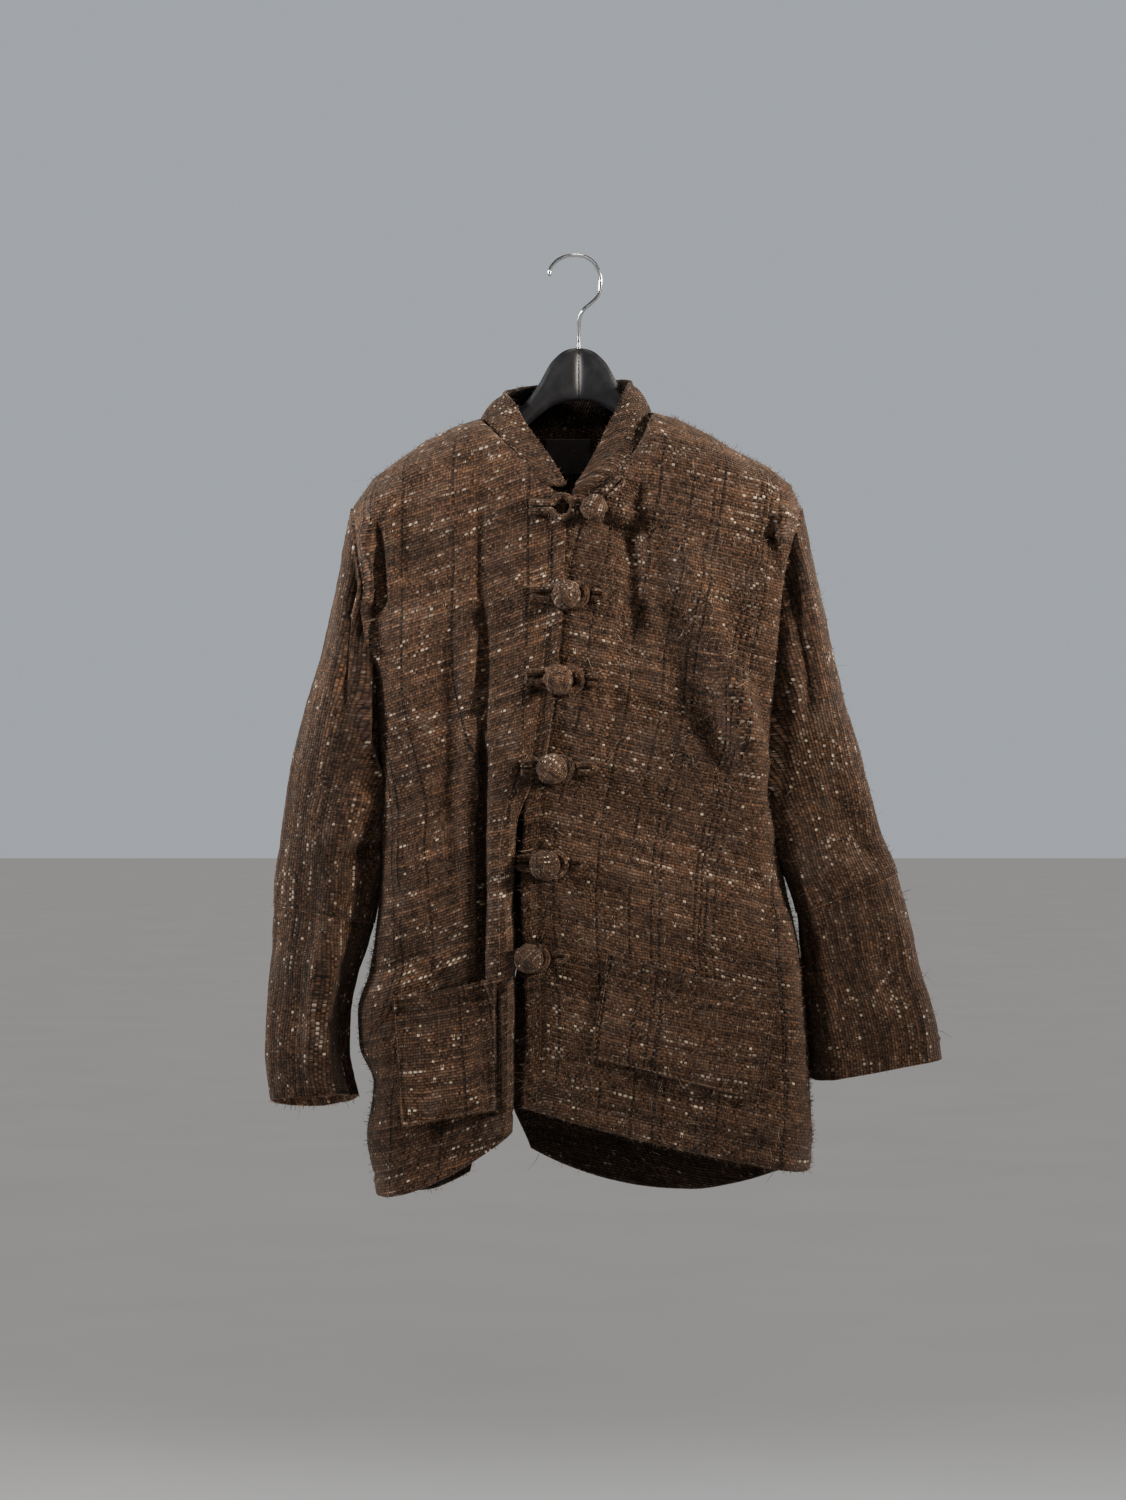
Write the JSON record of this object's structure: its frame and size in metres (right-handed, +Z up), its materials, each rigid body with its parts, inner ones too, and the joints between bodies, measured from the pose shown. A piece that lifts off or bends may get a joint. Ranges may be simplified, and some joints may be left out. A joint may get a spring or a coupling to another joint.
{
  "type": "stand-collar jacket on a coat hanger",
  "caption": "Straight hip-length hand-woven jacket with a stand collar, ball-and-loop closings and patch pockets, hanging on a moulded shoulder hanger with a wire hook.",
  "frame": {"origin": "the inside top of the hanger's hook, where it rests on a rod", "axes": "+X to the right of someone who faces the front, +Y away from them through the jacket to its back, +Z up"},
  "size_m": [0.683, 0.195, 0.9572],
  "materials": {
    "tweed": "hairy hand-woven wool in dark brown with rust, grey and cream slubs",
    "label": "plain dark woven ribbon",
    "hanger": "satin black moulding",
    "hook": "bright plated wire"
  },
  "bodies": {
    "root": {"back_left": "tweed", "back_right": "tweed", "front_left": "tweed", "front_right": "tweed", "sleeve_left_upper": "tweed", "sleeve_left_lower": "tweed", "sleeve_right_upper": "tweed", "sleeve_right_lower": "tweed", "collar": "tweed", "pocket_left": "tweed", "pocket_right": "tweed", "ball_1": "tweed", "ball_2": "tweed", "ball_3": "tweed", "ball_4": "tweed", "ball_5": "tweed", "ball_6": "tweed", "loop_1": "tweed", "loop_2": "tweed", "loop_3": "tweed", "loop_4": "tweed", "loop_5": "tweed", "loop_6": "tweed", "tail_1": "tweed", "tail_2": "tweed", "tail_3": "tweed", "tail_4": "tweed", "tail_5": "tweed", "tail_6": "tweed", "label": "label", "hanger": "hanger", "hook": "hook"}
  },
  "joints": []
}
